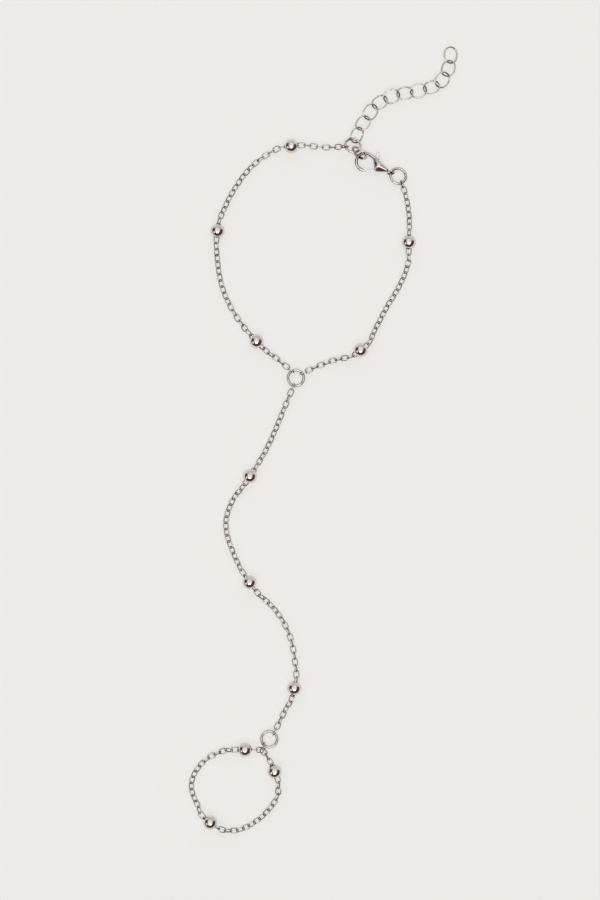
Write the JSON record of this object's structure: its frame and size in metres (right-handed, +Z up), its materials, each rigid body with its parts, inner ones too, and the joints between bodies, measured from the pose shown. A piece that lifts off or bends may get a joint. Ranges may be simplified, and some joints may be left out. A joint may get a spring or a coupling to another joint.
{
  "type": "hand chain bracelet",
  "caption": "Hand chain bracelet laid flat: beaded wrist loop with a lobster clasp and an extender, a chain down the back of the hand and a beaded finger loop.",
  "frame": {"origin": "centre of the laid-out bracelet in plan, on the surface it lies on", "axes": "+Z up from the surface; +Y from the finger loop towards the clasp and the extender; +X to the right as seen from above"},
  "size_m": [0.0698, 0.2044, 0.0045],
  "materials": {
    "chain_plating": "polished",
    "bead_plating": "mirror",
    "ring_plating": "polished",
    "clasp_plating": "polished"
  },
  "bodies": {
    "bracelet": {"wrist_chain_left": "chain_plating", "wrist_chain_right": "chain_plating", "hand_chain": "chain_plating", "finger_chain": "chain_plating", "wrist_bead_1": "bead_plating", "wrist_bead_2": "bead_plating", "wrist_bead_3": "bead_plating", "wrist_bead_4": "bead_plating", "wrist_bead_5": "bead_plating", "hand_bead_1": "bead_plating", "hand_bead_2": "bead_plating", "hand_bead_3": "bead_plating", "finger_bead_1": "bead_plating", "finger_bead_2": "bead_plating", "finger_bead_3": "bead_plating", "centre_ring": "ring_plating", "finger_ring": "ring_plating", "end_ring": "ring_plating", "hook_ring": "ring_plating", "tail_ring": "ring_plating", "connector_link": "chain_plating", "extender_link_1": "ring_plating", "extender_link_2": "ring_plating", "extender_link_3": "ring_plating", "extender_link_4": "ring_plating", "extender_link_5": "ring_plating", "extender_link_6": "ring_plating", "extender_link_7": "ring_plating", "extender_link_8": "ring_plating", "extender_link_9": "ring_plating", "extender_link_10": "ring_plating", "extender_link_11": "ring_plating", "clasp_body": "clasp_plating", "clasp_rivet": "clasp_plating"},
    "lever": {"clasp_lever": "clasp_plating"}
  },
  "joints": [
    {"name": "lever_pivot", "type": "hinge", "parent": "bracelet", "child": "lever", "pos_m": [0.01441, 0.07129, 0.0013], "axis": [0, 0, -1], "range_deg": [0, 25], "stiffness_Nm_per_rad": 0.005, "springref_deg": -11.46}
  ]
}
